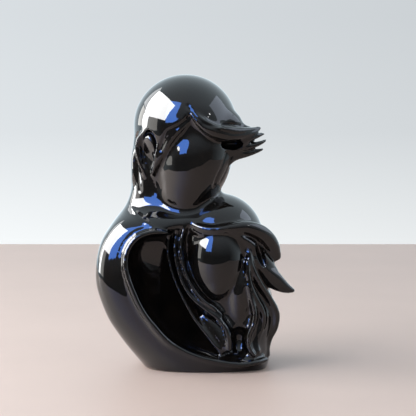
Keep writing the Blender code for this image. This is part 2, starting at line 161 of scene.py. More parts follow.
# Hair and hems: the side that each one shows, then its points with half-width and half-thickness
LOCKS = {
    "fringe left": ((-0.4, -1, -0.1), (
        (-5.5, -34, 190, 1.4, 2.4), (-11, -35, 182, 2.4, 3), (-18, -33, 174.5, 2.8, 3.4),
        (-25.5, -29, 165, 3, 3.4), (-30, -25, 154, 2, 3))),
    "fringe left under": ((-0.4, -1, -0.1), (
        (-5, -34, 186, 1.2, 2.4), (-10, -34.5, 178, 2, 3), (-16.5, -33, 170.5, 2.2, 3.2),
        (-22.8, -30, 161.5, 2.6, 3.4), (-27.5, -26.5, 152, 2, 3), (-30, -21, 144, 1, 1.6))),
    "fringe top": ((0.1, -1, -0.3), (
        (-5, -34, 189.5, 1.4, 2.4), (2, -36, 182, 3.4, 3.2), (10.5, -35, 175.5, 5.2, 3.6),
        (20.5, -30, 172.5, 6.4, 4), (30, -24, 172.5, 5.2, 4), (38.5, -18, 173.6, 3.4, 3.4),
        (47, -12, 176, 1.4, 1.6))),
    "fringe second": ((0.1, -1, -0.2), (
        (22, -22, 162.5, 2, 3), (29, -21, 164, 2.6, 3.2), (35.5, -18.5, 167.3, 2.6, 3),
        (42.5, -15, 169.6, 2.1, 2.6), (49.4, -11, 171.8, 1.3, 1.5))),
    "fringe third": ((0.1, -1, -0.2), (
        (22, -20, 160, 2.4, 3.6), (30, -18.5, 160.8, 2.4, 3.4), (37.5, -16, 162.4, 2.2, 3),
        (45, -13, 164.4, 2, 2.5), (51, -10, 167, 1.3, 1.5))),
    "fringe low": ((0.2, -1, -0.3), (
        (14, -22, 148, 4.4, 3), (20.5, -20, 152, 5, 3.4), (27, -17.5, 155.6, 4.2, 3.2),
        (35.5, -14.5, 156.8, 2.8, 2.6), (43, -12, 158.6, 2, 2.2), (49, -10, 160.6, 1.2, 1.4))),
    "flare root": ((0.4, -1, 0), (
        (14, -14, 176, 12, 9), (22, -11, 171, 12, 8), (30, -10, 168, 8, 6),
        (37, -10, 168.5, 5, 3.6), (43, -9.5, 169.5, 3, 2))),
    "flare crest": ((0.3, -1, 0.2), (
        (27, -9, 179, 5.6, 6), (33.5, -10.5, 175, 4, 5), (41, -11, 174, 2.4, 3))),
    "ear rim": ((-0.7, -1, 0), (
        (-35.5, -23, 175, 2, 3), (-41, -19, 169, 2.4, 3.6), (-42.5, -17, 161, 2.4, 3.6),
        (-40.5, -17.5, 152, 2.4, 3.6), (-38, -17.5, 145, 2, 3.4), (-35, -17, 138, 1.4, 2.6))),
    "ear inner rim": ((-0.3, -1, 0), (
        (-30.5, -27, 169, 1.8, 3), (-28.5, -27.5, 161, 2, 3.4), (-29.5, -25.5, 151, 2, 3.4),
        (-32, -22, 142, 1.6, 3))),
    "nape left": ((-1, -0.3, 0), (
        (-43, -10, 168, 1.6, 1.6), (-44.8, -11, 154, 3.4, 3), (-45, -11, 141, 3.4, 3),
        (-45, -8.5, 126, 1.4, 1.6))),
    "nape middle": ((-1, 0.1, 0), (
        (-44, -1, 170, 1.6, 1.6), (-45.4, -2, 154, 4, 3), (-45.6, -2, 138, 4, 3),
        (-47, -2, 122, 1.6, 1.6))),
    "back left": ((-0.6, 1, 0), (
        (-32, 27, 176, 3, 2.4), (-38, 27, 160, 5.4, 3.4), (-40, 27, 142, 5.4, 3.4),
        (-43, 27, 124, 4, 3), (-46, 28, 112, 1.6, 2))),
    "back middle": ((-0.1, 1, 0), (
        (-16, 35, 174, 3, 2.4), (-20, 34.5, 158, 6, 3.4), (-22, 33, 140, 6, 3.4),
        (-23, 33.5, 122, 4.4, 3), (-24, 36, 108, 1.6, 2))),
    "back right": ((0.4, 1, 0), (
        (8, 32, 172, 3, 2.4), (3, 32.5, 157, 6, 3.4), (-1, 31.5, 140, 6, 3.4),
        (-2, 32.5, 124, 4.4, 3), (-2, 35, 112, 1.6, 2))),
    "cloak hem": ((-0.2, -1, 0.1), (
        (-20, -37.9, 101.5, 1.2, 2.6), (-31, -38.6, 102, 2, 3.2), (-42.5, -40.5, 98.2, 2.5, 3.8),
        (-49.6, -42.7, 88.5, 2.5, 4), (-50.4, -44.6, 76, 2.5, 4), (-45.4, -45.9, 60.5, 2.5, 4),
        (-38.6, -45.7, 46, 2.5, 3.8), (-28.8, -45.3, 32.5, 2.8, 3.8), (-20, -44.4, 23, 2.8, 3.6),
        (-9.5, -43.5, 16.5, 2.6, 3.6), (1.5, -43.5, 12, 2.4, 3.6), (12.5, -43, 9, 2.4, 3.4),
        (24, -42, 7, 2.2, 3.4), (34, -40, 6, 2.2, 3.4), (44, -35.5, 7, 2.2, 3.2),
        (51, -29, 8, 2.2, 2.8))),
    "collar": ((-0.3, -1, 0.3), (
        (-49.5, -13.9, 119, 1, 1.4), (-44, -24.7, 114.5, 1.1, 1.6), (-37, -33.7, 109, 1.2, 1.8),
        (-31, -36.6, 105, 1.2, 1.8), (-25, -37.8, 102.2, 1, 1.8))),
    "child outer": ((-0.7, -1, 0), (
        (-7.2, -24, 109.8, 1.2, 4), (-13.7, -24, 106.9, 1.7, 4.6), (-18.1, -24.5, 97.8, 1.9, 5),
        (-19, -25, 87.6, 1.9, 5.4), (-16.8, -26, 75.3, 1.9, 5.6), (-12.8, -27.5, 63.8, 1.9, 5.6),
        (-7, -29.5, 51.6, 1.9, 5.6), (0.3, -31.5, 38.7, 1.9, 5.6), (8.8, -34, 27.4, 1.9, 5),
        (15.3, -36, 18.9, 1.7, 4.4), (19, -37.5, 13.3, 1.4, 3))),
    "child second": ((-0.5, -1, 0), (
        (-7.5, -28, 108.4, 1.2, 4), (-11.8, -28.5, 103.4, 1.9, 4.6), (-14.2, -29.5, 94.7, 2.1, 5),
        (-14, -30.5, 84.6, 2.1, 5.4), (-11.8, -31.5, 73.8, 2.1, 5.4), (-7.8, -33, 63.1, 2.1, 5.4),
        (-1.3, -34.5, 53.8, 2.1, 5.4), (8.1, -36, 46, 2.1, 5.2), (16.1, -37, 39.9, 2.1, 5),
        (21.8, -38, 32.4, 2.1, 4.6), (24, -38, 23.6, 2, 4.2), (24, -38.5, 14.9, 1.6, 3))),
    "child third": ((-0.4, -1, 0), (
        (-6, -31, 106.5, 1.1, 3.6), (-9.2, -32.5, 100.9, 1.4, 4.4), (-10.5, -33.5, 91.5, 1.5, 4.6),
        (-9.6, -34.5, 81.5, 1.5, 4.6), (-6.7, -35.5, 71.4, 1.5, 4.6), (-1.6, -36.5, 61.4, 1.5, 4.6),
        (5.2, -37, 53.1, 1.5, 4.4), (13.2, -37, 47.2, 1.5, 4), (18.9, -37, 41.7, 1.2, 3))),
    "child leaf": ((-0.3, -1, 0.2), (
        (4, -30, 41, 2.4, 4), (11.5, -32.5, 33, 6, 4.4), (17.5, -35, 23, 5.4, 4),
        (21, -37, 14, 2.4, 3))),
    "brim": ((0, -1, 0.1), (
        (-6.5, -30, 109, 1.6, 2.6), (2.5, -35, 105, 2.6, 3.8), (12.5, -37.5, 103.6, 3, 4.2),
        (25.5, -37, 105, 3.8, 4.4), (36, -32.5, 105, 5, 5), (47, -26, 100, 6, 5.4),
        (54.5, -20, 91, 5.8, 5), (59.2, -15.5, 79.5, 3.2, 3.2))),
    "brim edge": ((0, -1, 0), (
        (-4.2, -33, 103.5, 1.1, 2.6), (5.2, -35.5, 99.8, 1.5, 3.2), (16.7, -36, 100.9, 1.6, 3.4),
        (26.8, -35, 101.1, 1.8, 3.6), (34.9, -31.5, 96, 2, 3.8), (40.8, -27.5, 86.5, 2.2, 4),
        (46, -23.5, 75.7, 2.2, 4), (51.3, -20, 67.2, 1.8, 3.4))),
    "brim under": ((0, -1, 0), (
        (30, -33, 98.5, 2.6, 4.6), (38, -29.5, 93.5, 3.6, 5), (45.5, -24.5, 85, 4.4, 5.4),
        (51.5, -19.5, 77, 4.4, 5), (57, -16, 70, 3.4, 4))),
    "flick": ((0.1, -1, -0.2), (
        (40, -27, 84, 3.4, 5), (47.5, -22.5, 74.5, 5.4, 5.4), (55.5, -18.5, 65.5, 7, 5),
        (64, -15.5, 59, 4.8, 3.8), (72, -13, 55.6, 1.6, 1.8))),
    "child right": ((0.6, -1, 0), (
        (36.3, -31, 88.3, 2, 4), (38.6, -30, 76.5, 2.6, 5), (43.7, -27.5, 64.5, 3, 6),
        (51.2, -22, 52, 3.4, 6), (56.4, -18.5, 41, 3.6, 6), (55.8, -17.5, 31, 3.4, 6),
        (51.9, -17, 22, 3.2, 5.4), (50.4, -17.5, 14.6, 2.8, 5), (51.4, -19, 7.7, 2.4, 4))),
    "child right inner": ((0.4, -1, 0), (
        (35.6, -33, 81.3, 1.8, 4), (36.7, -33, 67.4, 2.4, 5), (41.1, -30.5, 54.7, 2.6, 5.6),
        (46.3, -28, 44, 2.6, 6), (47.1, -27, 35, 2.6, 6), (43.8, -28, 26.3, 2.5, 5.6),
        (42.3, -30, 19.3, 2.4, 5), (44.8, -32, 12.3, 2, 4))),
    "child right third": ((0.2, -1, 0), (
        (36, -34, 64.7, 1.6, 4), (38.9, -33, 52.8, 2.2, 5), (41.5, -32.5, 41.8, 2.4, 5.4),
        (39.7, -33.5, 33.1, 2.3, 5.4), (36.7, -34.5, 25.2, 2.2, 5), (37.8, -35, 17.2, 2.1, 4.4),
        (42.2, -35.5, 11.1, 1.8, 3.4))),
}

# Lines tooled between the locks: width, depth, and across and height as seen 30 mm before the middle
GROOVES = (
    (2.2, 1, ((-6.3, 192.8), (-5.8, 189.5), (-5.4, 184.2))),
    (2.2, 1.1, ((-4.5, 190.3), (-2.7, 187.8), (0.9, 183.6), (7, 179.5), (15.3, 178.3), (24.7, 179.1),
                (31.1, 178.3))),
    (2, 1, ((-5.4, 184.2), (-12, 179.3), (-17.1, 176.5), (-21.6, 173.7), (-24.7, 167.2),
            (-26, 160.8))),
    (1.6, 0.6, ((-5.9, 182), (-12.4, 177.3), (-19.3, 172.3), (-23.4, 165.1), (-24.8, 158.6))),
    (2, 0.7, ((4.5, 179.5), (15.3, 175.2), (27.5, 172.3), (36.9, 173.4), (46.1, 176.6))),
    (1.6, 0.7, ((25.2, 160.4), (34.8, 159.7), (42.7, 161.5))),
    (1.8, 0.8, ((21.4, 159.3), (18.6, 149.9), (14.2, 140.5), (12.4, 134.7))),
    (1.6, 0.7, ((24.7, 155.7), (21.8, 147), (17.5, 138.4))),
    (3, 0.6, ((-40.5, 174.4), (-44.2, 167.2), (-44.7, 155.7), (-42.4, 144.1), (-41, 131.8))),
    (3.4, 0.5, ((-40.2, 155), (-36.6, 149.2), (-33.7, 144.1), (-33, 137.6), (-30.2, 130.4))),
)
GROOVES_PLANE = -30

# The hollow that the cast wall leaves inside, and its drain in the foot
CAST_HOLLOW = (
    (6, -30, 40, -8, 33),
    (12, -42, 45, -8, 38),
    (29, -53, 45, -8, 40),
    (50, -63, 44, -8, 40),
    (70, -66.5, 42, -8, 38.5),
    (94, -62.5, 37, -8, 35.5),
    (112, -51, 27, -8, 31.5),
    (130, -42.5, 8, -7, 29),
    (142, -42, 8, -6, 29),
    (156, -40, 14, -6, 29),
    (166, -34, 14, -6, 26),
)
HEAD_HOLLOW_RADIUS = 28.5
CHILD_HOLLOW_RADIUS = 26
DRAIN_CENTRE = (-6, 8)
HOLLOW_GRAIN = 3

# How finely things are made: points round each shape, and steps between the points given for it
BODY_POINTS = 96
EGG_POINTS = 96
EGG_RINGS = 64
LOCK_POINTS = 16
DRAIN_POINTS = 64
SECTION_STEPS = 6
RIM_STEPS = 6
HOLLOW_STEPS = 13
LOCK_STEPS = 8
GROOVE_STEPS = 24
SKIN_FACETS = 186000
SHARP_ANGLE = 70

# How strongly a stroke smooths the clay, how many strokes each stage gets, and the child's finer grain
STROKE = 0.5
CLOAK_STROKES = 8
PARENT_STROKES = 10
CHILD_STROKES = 6
HAIR_STROKES = 3
GAP_STROKES = 11
GROOVE_STROKES = 3
CAST_STROKES = 5
CHILD_GRAIN_SHARE = 0.9

# Heights over the foot between which the glaze ends, gloss, and patterns in cells to the metre
GLAZE_LINE = (0.25, 0.6)
GLAZE_ROUGHNESS = (0.02, 0.055)
GLAZE_IOR = 1.52
CLAY_ROUGHNESS = 0.7
RUNS_SCALE = 45
GRIT_SCALE = 1600
SMEAR_SCALE = 60
PEEL_SCALE = 220
PEEL_DEPTH = 0.02
PEEL_STRENGTH = 0.5

# Where the photograph was taken from, on the maker's grid, and how long its lens is
CAMERA_AT = (8.1, -1250, 232)
CAMERA_AIM = (8.1, 0, 116)
FRAME_PIXELS = 416
LENS_PIXELS = 1695
SENSOR_MM = 36

# Floor in metres: half its width, its back edge, and its front edge, which runs askew
FLOOR_HALF_WIDTH = 0.8
FLOOR_BACK = 0.78
FLOOR_FRONT = -0.45
FLOOR_SKEW = 0.3
FLOOR_ROUGHNESS = 0.55
FLOOR_MOTTLE_SCALE = 9

# Backdrop and room: the stretch of view that each fade covers, and the room as the glaze mirrors it
# The backdrop carries painted light and shade: paler just above the floor, a little darker to the
# right
WALL_FADE = (-0.115, 0.02)
WALL_HALFWAY_SHARE = 0.2
WALL_ACROSS = (-0.12, 0.12)
WALL_RIGHT_SHADE = 0.88
ROOM_RISE = (0.05, 0.75)
ROOM_DEPTH = (-0.6, 0.5)
ROOM_LOW = (0.12, 0.125, 0.13)
ROOM_HIGH = (0.66, 0.74, 0.82)
ROOM_BEHIND = (1.1, 1.3, 1.42)

# Lamps: name, turn from the back to the right, rise, size in metres, glow, and whether it lights the
# figure softly or only shows in the glaze
LAMP_AIM = (0, 0, 0.12)
LAMP_REACH = 1.3
LAMPS = (
    ("window light", -105, 36, (1.6, 1), (3.6, 3.55, 3.45), True),
    ("window", -102, 38, (1.62, 0.96), (21, 21, 21), False),
    ("window low", -78, 7, (0.44, 0.5), (18, 18, 18), False),
    ("window sill", -102, 7, (0.6, 0.5), (3, 2.9, 2.7), False),
    ("window side", -59, 12, (0.4, 0.46), (4.8, 4.6, 4.3), False),
    ("window top", -57, 36, (0.5, 0.6), (4, 4, 4), False),
    ("sky strip", -147, 34, (0.56, 1.1), (1.2, 3.4, 11.5), False),
    ("pale wall right", 84, 29, (0.95, 0.75), (1.35, 1.5, 1.85), False),
    ("small lamp", 120, 27, (0.05, 0.06), (20, 20, 20), False),
)

# Sockets of the Mix node that carry colours
MIX_FIRST = 6
MIX_SECOND = 7
MIX_RESULT = 2


class FigureSizes(bpy.types.PropertyGroup):
    """Sizes of the figure that can be set by themselves."""

    cap_radius: bpy.props.FloatProperty(
        name="Cap radius", description="Radius of the parent's cap of hair",
        default=38.4 * MM, unit="LENGTH", precision=4)
    hair_thickness: bpy.props.FloatProperty(
        name="Hair thickness", description="How far the parent's hair stands over the face",
        default=4.4 * MM, unit="LENGTH", precision=4)
    face_lean: bpy.props.FloatProperty(
        name="Face lean", description="How far the parent's face leans to the left",
        default=math.radians(15), subtype="ANGLE")
    child_radius: bpy.props.FloatProperty(
        name="Child's cap radius", description="Radius of the child's cap of hair",
        default=33.5 * MM, unit="LENGTH", precision=4)
    drain: bpy.props.FloatProperty(
        name="Drain", description="Diameter of the drain hole in the foot",
        default=12 * MM, unit="LENGTH", precision=4)
    body_grain: bpy.props.FloatProperty(
        name="Body grain", description="Grain of the clay while the body is pressed",
        default=1.8 * MM, unit="LENGTH", precision=4)
    fine_grain: bpy.props.FloatProperty(
        name="Fine grain", description="Grain of the finished surface",
        default=0.82 * MM, unit="LENGTH", precision=5)


class FigureColours(bpy.types.PropertyGroup):
    """Colours of the glaze, the clay and the stage."""

    glaze: bpy.props.FloatVectorProperty(
        name="Glaze", description="Colour of the black glaze", subtype="COLOR",
        default=(0.0026, 0.0026, 0.003))
    thin_glaze: bpy.props.FloatVectorProperty(
        name="Thin glaze", description="Where the glaze has run thin", subtype="COLOR",
        default=(0.008, 0.0062, 0.0052))
    clay: bpy.props.FloatVectorProperty(
        name="Clay", description="Bare clay of the foot", subtype="COLOR",
        default=(0.42, 0.36, 0.3))
    floor: bpy.props.FloatVectorProperty(
        name="Floor", description="Floor that the figure stands on", subtype="COLOR",
        default=(0.72, 0.565, 0.5))
    wall: bpy.props.FloatVectorProperty(
        name="Wall", description="Backdrop high above the floor", subtype="COLOR",
        default=(0.69, 0.73, 0.76))
    # Painted light: the backdrop is painted paler just above the floor
    wall_low_painted_light: bpy.props.FloatVectorProperty(
        name="Low wall", description="Backdrop just above the floor", subtype="COLOR",
        default=(0.94, 0.97, 0.98))
    fill: bpy.props.FloatVectorProperty(
        name="Fill", description="Soft light from all round", subtype="COLOR",
        default=(0.38, 0.4, 0.42))


def smooth_through(rows, steps):
    """A Catmull-Rom run through rows of numbers, with so many steps between neighbours."""
    rows = [Vector(row) for row in rows]
    ends = [rows[0] * 2 - rows[1]] + rows + [rows[-1] * 2 - rows[-2]]
    run = []
    for a, b, c, d in zip(ends, ends[1:], ends[2:], ends[3:]):
        for step in range(steps):
            t = step / steps
            run.append(0.5 * (2 * b + (c - a) * t + (2 * a - 5 * b + 4 * c - d) * t * t
                              + (3 * b - a - 3 * c + d) * t ** 3))
    run.append(rows[-1])
    return run


def hoop(clay, count, place):
    """A ring of points, and its edges."""
    verts = bmesh.ops.create_circle(clay, segments=count, radius=1, matrix=place)["verts"]
    return verts, list(dict.fromkeys(edge for vert in verts for edge in vert.link_edges))


def joined(clay, hoops):
    """Bridge each ring to the next and close both ends."""
    for lower, upper in zip(hoops, hoops[1:]):
        bmesh.ops.bridge_loops(clay, edges=lower + upper)
    for end in (hoops[0], hoops[-1]):
        bmesh.ops.contextual_create(clay, geom=end)


def egg(clay, centre, radii, lean=0.0):
    """An ellipsoid that may lean sideways."""
    place = Matrix.Translation(Vector(centre) * MM)
    turn = Matrix.Rotation(lean, 4, "Y")
    size = Matrix.Diagonal((*(radius * MM for radius in radii), 1))
    bmesh.ops.create_uvsphere(
        clay, u_segments=EGG_POINTS, v_segments=EGG_RINGS, radius=1, matrix=place @ turn @ size)


def upright(clay, sections, back_squareness):
    """A body through its sections: height, left, right, front, back and how square its front is."""
    hoops = []
    for height, left, right, front, back, front_squareness in smooth_through(
            sections, SECTION_STEPS):
        verts, edges = hoop(clay, BODY_POINTS, Matrix.Translation((0, 0, height * MM)))
        for vert in verts:
            squareness = back_squareness if vert.co.y > 0 else front_squareness
            across = math.copysign(abs(vert.co.x) ** (2 / squareness), vert.co.x)
            deep = math.copysign(abs(vert.co.y) ** (2 / squareness), vert.co.y)
            vert.co.x = ((left + right) / 2 + across * (right - left) / 2) * MM
            vert.co.y = deep * (back if deep > 0 else -front) * MM
        hoops.append(edges)
    joined(clay, hoops)


def prism(clay, outline, levels):
    """An outline seen from the front, carried through levels of depth, share and heart."""
    first = [clay.verts.new((x * MM, 0, z * MM)) for x, z in outline]
    face = clay.faces.new(first)
    flat = list(first)
    hoops = []
    for deep, share, heart in levels:
        made = bmesh.ops.duplicate(clay, geom=flat + list(face.edges))["geom"]
        verts = [item for item in made if isinstance(item, bmesh.types.BMVert)]
        hub = Vector((heart[0], 0, heart[1])) * MM
        bmesh.ops.scale(clay, verts=verts, vec=(share,) * 3, space=Matrix.Translation(-hub))
        bmesh.ops.translate(clay, verts=verts, vec=(0, deep * MM, 0))
        hoops.append([item for item in made if isinstance(item, bmesh.types.BMEdge)])
    bmesh.ops.delete(clay, geom=first, context="VERTS")
    joined(clay, hoops)


def lock(clay, shows, points):
    """A tapered lock or hem: an oval run along its points, broad towards the side it shows."""
    run = smooth_through(points, LOCK_STEPS)
    hoops = []
    for before, here, after in zip(run[:1] + run, run, run[1:] + run[-1:]):
        along = (after - before).to_3d().normalized()
        side = along.cross(Vector(shows)).normalized()
        out = side.cross(along)
        axes = Matrix((side * here[3] * MM, out * here[4] * MM, along * MM)).transposed()
        place = Matrix.Translation(here.to_3d() * MM) @ axes.to_4x4()
        hoops.append(hoop(clay, LOCK_POINTS, place)[1])
    joined(clay, hoops)


def added(clay, more):
    """Add one clay to another."""
    mesh = bpy.data.meshes.new("more")
    more.to_mesh(mesh)
    more.free()
    clay.from_mesh(mesh)
    bpy.data.meshes.remove(mesh)


def as_object(name, clay):
    """Put the clay into an object of that name, with its faces out."""
    bmesh.ops.recalc_face_normals(clay, faces=clay.faces[:])
    mesh = bpy.data.meshes.new(name)
    clay.to_mesh(mesh)
    clay.free()
    piece = bpy.data.objects.new(name, mesh)
    bpy.context.scene.collection.objects.link(piece)
    return piece


def fired(piece):
    """The object's shape with its modifiers applied, as clay again, and the object gone."""
    shape = piece.evaluated_get(bpy.context.evaluated_depsgraph_get()).to_mesh()
    clay = bmesh.new()
    clay.from_mesh(shape)
    piece.to_mesh_clear()
    bpy.data.objects.remove(piece)
    return clay


def pressed(clay, grain, strokes):
    """Press overlapping masses into one skin and soften it."""
    piece = as_object("pressed", clay)
    press = piece.modifiers.new("press", "REMESH")
    press.mode = "VOXEL"
    press.voxel_size = grain
    soften = piece.modifiers.new("soften", "SMOOTH")
    soften.factor = STROKE
    soften.iterations = strokes
    return fired(piece)


def rubbed(clay, strokes):
    """Rub the clay smooth as it stands."""
    for _ in range(strokes):
        bmesh.ops.smooth_vert(clay, verts=clay.verts[:], factor=STROKE, use_axis_x=True,
                              use_axis_y=True, use_axis_z=True)


def thinned(clay, facets):
    """Keep so many facets, more of them where the surface turns."""
    bmesh.ops.triangulate(clay, faces=clay.faces[:])
    share = facets / len(clay.faces)
    piece = as_object("thinned", clay)
    thin = piece.modifiers.new("thin", "DECIMATE")
    thin.ratio = min(1, share)
    return fired(piece)


def cut(clay, tool_clay, operation="DIFFERENCE"):
    """Cut one closed shape out of another, or join them with UNION."""
    piece = as_object("kept", clay)
    tool = as_object("tool", tool_clay)
    trim = piece.modifiers.new("cut", "BOOLEAN")
    trim.operation = operation
    trim.solver = "EXACT"
    trim.object = tool
    kept = fired(piece)
    bpy.data.objects.remove(tool)
    return kept


def carve(clay, grooves, eye):
    """Tool soft lines into the surface along runs of points, as they are seen from the eye."""
    skin = BVHTree.FromBMesh(clay)
    for width, depth, points in grooves:
        run = [skin.ray_cast(eye, Vector((across, GROOVES_PLANE, height)) * MM - eye)[0]
               for across, height in smooth_through(points, GROOVE_STEPS)]
        run = [point for point in run if point]
        line = KDTree(len(run))
        for i, point in enumerate(run):
            line.insert(point, i)
        line.balance()
        for vert in clay.verts:
            off = line.find(vert.co)[2] / (width * MM)
            if off < 1:
                vert.co -= vert.normal * depth * MM * (1 - off * off) ** 2


def claimed(name):
    """The clay of a finished stage, and its object gone."""
    piece = bpy.data.objects[name]
    clay = bmesh.new()
    clay.from_mesh(piece.data)
    bpy.data.objects.remove(piece)
    return clay


class FIGURE_OT_parent(bpy.types.Operator):
    """Model the parent: the cloak with its hollow, the cap of hair and the face"""

    bl_idname = "figure.parent"
    bl_label = "Model the parent"

    def execute(self, context):
        sizes = context.scene.figure_sizes
        clay = bmesh.new()
        upright(clay, CLOAK, BACK_SQUARENESS)
        clay = pressed(clay, sizes.body_grain, CLOAK_STROKES)
        hollow = bmesh.new()
        outline = smooth_through(HOLLOW_RIM + HOLLOW_RIM[:1], RIM_STEPS)[:-1]
        levels = [(HOLLOW_MOUTH, 1, HOLLOW_HEART)]
        for step in range(HOLLOW_STEPS):
            angle = math.pi / 2 * step / (HOLLOW_STEPS - 0.5)
            deep = HOLLOW_FLOOR - HOLLOW_DEPTH * (1 - math.sin(angle))
            levels.append((deep, math.cos(angle), HOLLOW_HEART))
        prism(hollow, outline, levels)
        clay = cut(clay, hollow)
        cap = bmesh.new()
        radius = sizes.cap_radius / MM
        egg(cap, CAP_CENTRE, (radius,) * 3)
        window = bmesh.new()
        prism(window, HAIRLINE, [(depth, 1, (0, 0)) for depth in HAIRLINE_DEPTHS])
        added(clay, cut(cap, window))
        egg(clay, CAP_CENTRE, (radius - sizes.hair_thickness / MM,) * 3)
        egg(clay, FACE_CENTRE, FACE_RADII, sizes.face_lean)
        egg(clay, CHEEK_CENTRE, CHEEK_RADII)
        egg(clay, JAW_CENTRE, JAW_RADII)
        egg(clay, FLARE_CENTRE, FLARE_RADII)
        as_object("parent", pressed(clay, sizes.body_grain, PARENT_STROKES))
        return {"FINISHED"}


class FIGURE_OT_child(bpy.types.Operator):
    """Set the child's head, hair, face and chest in the hollow"""

    bl_idname = "figure.child"
    bl_label = "Set the child in"

    def execute(self, context):
        sizes = context.scene.figure_sizes
        clay = claimed("parent")
        egg(clay, CHILD_CENTRE, (sizes.child_radius / MM,) * 3)
        hair = bmesh.new()
        upright(hair, [(*row, CHILD_HAIR_SQUARENESS) for row in CHILD_HAIR], CHILD_HAIR_SQUARENESS)
        added(clay, hair)
        clay = pressed(clay, sizes.body_grain * CHILD_GRAIN_SHARE, CHILD_STROKES)
        lap = bmesh.new()
        egg(lap, LAP_CENTRE, LAP_RADII)
        clay = cut(clay, lap)
        egg(clay, CHILD_FACE_CENTRE, CHILD_FACE_RADII)
        egg(clay, CHILD_CHIN_CENTRE, CHILD_CHIN_RADII)
        egg(clay, CHEST_CENTRE, CHEST_RADII)
        as_object("figure body", clay)
        return {"FINISHED"}


class FIGURE_OT_hair(bpy.types.Operator):
    """Lay the locks and hems on, open the gaps in the hair and tool the lines"""

    bl_idname = "figure.hair"
    bl_label = "Lay the hair on"

    def execute(self, context):
        sizes = context.scene.figure_sizes
        clay = claimed("figure body")
        for shows, points in LOCKS.values():
            strand = bmesh.new()
            lock(strand, shows, points)
            added(clay, strand)
        clay = pressed(clay, sizes.fine_grain, HAIR_STROKES)
        gaps = bmesh.new()
        egg(gaps, EAR_CENTRE, EAR_RADII)
        lobe = bmesh.new()
        egg(lobe, EARLOBE_CENTRE, EARLOBE_RADII)
        gaps = cut(gaps, lobe)
        egg(gaps, FLARE_HOLLOW_CENTRE, FLARE_HOLLOW_RADII)
        egg(gaps, BRIM_HOLLOW_CENTRE, BRIM_HOLLOW_RADII, math.radians(BRIM_HOLLOW_LEAN))
        clay = cut(clay, gaps)
        rubbed(clay, GAP_STROKES)
        carve(clay, GROOVES, Vector(CAMERA_AT) * MM)
        rubbed(clay, GROOVE_STROKES)
        as_object("figure surface", clay)
        return {"FINISHED"}


class FIGURE_OT_foot(bpy.types.Operator):
    """Cut the foot flat, leave the cast wall and its drain, and set the figure on its frame"""

    bl_idname = "figure.foot"
    bl_label = "Finish the foot"

    def execute(self, context):
        sizes = context.scene.figure_sizes
        clay = claimed("figure surface")
        bmesh.ops.bisect_plane(
            clay, geom=clay.verts[:] + clay.edges[:] + clay.faces[:], dist=1e-7,
            plane_co=(0, 0, 0), plane_no=(0, 0, 1), clear_inner=True)
        rim = [edge for edge in clay.edges if edge.is_boundary]
        bmesh.ops.contextual_create(clay, geom=rim)
        bmesh.ops.triangulate(clay, faces=[face for face in clay.faces if len(face.verts) > 4])
        clay = thinned(clay, SKIN_FACETS)
        inside = bmesh.new()
        upright(inside, [(*row, BACK_SQUARENESS) for row in CAST_HOLLOW], BACK_SQUARENESS)
        egg(inside, CAP_CENTRE, (HEAD_HOLLOW_RADIUS,) * 3)
        egg(inside, CHILD_CENTRE, (CHILD_HOLLOW_RADIUS,) * 3)
        inside = pressed(inside, HOLLOW_GRAIN * MM, CAST_STROKES)
        drain = bmesh.new()
        floor = CAST_HOLLOW[0][0]
        bmesh.ops.create_cone(
            drain, cap_ends=True, segments=DRAIN_POINTS, radius1=sizes.drain / 2,
            radius2=sizes.drain / 2, depth=4 * floor * MM,
            matrix=Matrix.Translation(Vector((*DRAIN_CENTRE, floor)) * MM))
        clay = cut(clay, cut(inside, drain, "UNION"))
        low = [min(vert.co[i] for vert in clay.verts) for i in range(3)]
        high = [max(vert.co[i] for vert in clay.verts) for i in range(3)]
        shift = Vector((-(low[0] + high[0]) / 2, -(low[1] + high[1]) / 2, -low[2]))
        bmesh.ops.translate(clay, verts=clay.verts[:], vec=shift)
        mesh = bpy.data.meshes.new("figure")
        clay.to_mesh(mesh)
        clay.free()
        figure = bpy.data.objects.new("figure", mesh)
        context.scene.collection.objects.link(figure)
        mesh.shade_smooth()
        mesh.set_sharp_from_angle(angle=math.radians(SHARP_ANGLE))
        context.scene["figure_shift"] = list(shift)
        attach(figure, "root")
        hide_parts("sculpture")
        return {"FINISHED"}


def noise(nodes, links, source, scale, detail=2.0):
    """Noise of that many cells to the metre."""
    node = nodes.new("ShaderNodeTexNoise")
    node.inputs["Scale"].default_value = scale
    node.inputs["Detail"].default_value = detail
    links.new(source, node.inputs["Vector"])
    return node.outputs["Fac"]


def spread(nodes, links, source, low, high, to_low, to_high):
    """Spread a range of one value over another range."""
    node = nodes.new("ShaderNodeMapRange")
    for name, value in (("From Min", low), ("From Max", high), ("To Min", to_low),
                        ("To Max", to_high)):
        node.inputs[name].default_value = value
    links.new(source, node.inputs["Value"])
    return node.outputs["Result"]


def blended(nodes, links, share, first, second):
    """Blend two colours, or a colour and a socket."""
    node = nodes.new("ShaderNodeMix")
    node.data_type = "RGBA"
    links.new(share, node.inputs["Factor"])
    for socket, value in ((node.inputs[MIX_FIRST], first), (node.inputs[MIX_SECOND], second)):
        if isinstance(value, bpy.types.NodeSocket):
            links.new(value, socket)
        else:
            socket.default_value = (*value, 1)
    return node.outputs[MIX_RESULT]


